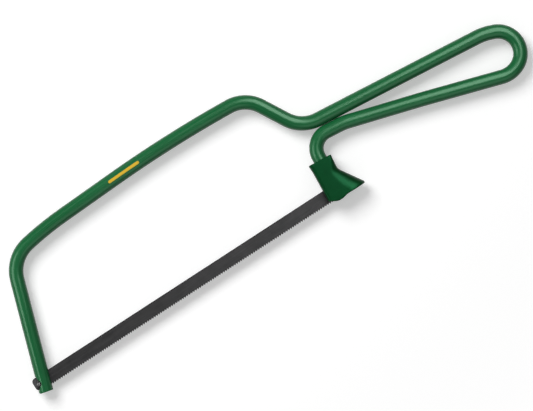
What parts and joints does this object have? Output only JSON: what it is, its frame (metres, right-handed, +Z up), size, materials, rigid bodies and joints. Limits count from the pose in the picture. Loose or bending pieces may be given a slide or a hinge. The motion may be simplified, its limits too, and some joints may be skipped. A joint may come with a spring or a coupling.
{
  "type": "mini hacksaw",
  "caption": "Small hand saw: one steel rod bent into a bow and a looped handle, its slotted ends holding a thin pinned toothed blade, with a flared plastic finger guard.",
  "frame": {"origin": "middle of the saw's bounding box seen from above, on the plane that it lies on", "axes": "+X along the blade from the front end to the handle, +Y from the teeth to the bow, +Z up, square to the frame's plane"},
  "size_m": [0.2462, 0.0622, 0.0104],
  "materials": {
    "frame_paint": "glossy green paint over round steel rod",
    "guard_plastic": "satin dark green moulded plastic",
    "blade_steel": "dark grey hardened steel",
    "pin_steel": "bare turned steel"
  },
  "bodies": {
    "frame": {"frame_rod": "frame_paint", "finger_guard": "guard_plastic"},
    "blade": {"blade": "blade_steel", "front_blade_pin": "pin_steel", "rear_blade_pin": "pin_steel"}
  },
  "joints": [
    {"name": "blade_swing", "type": "hinge", "parent": "frame", "child": "blade", "pos_m": [-0.12086, -0.02616, 0.0052], "axis": [0, 0, -1], "range_deg": [0, 60]}
  ]
}
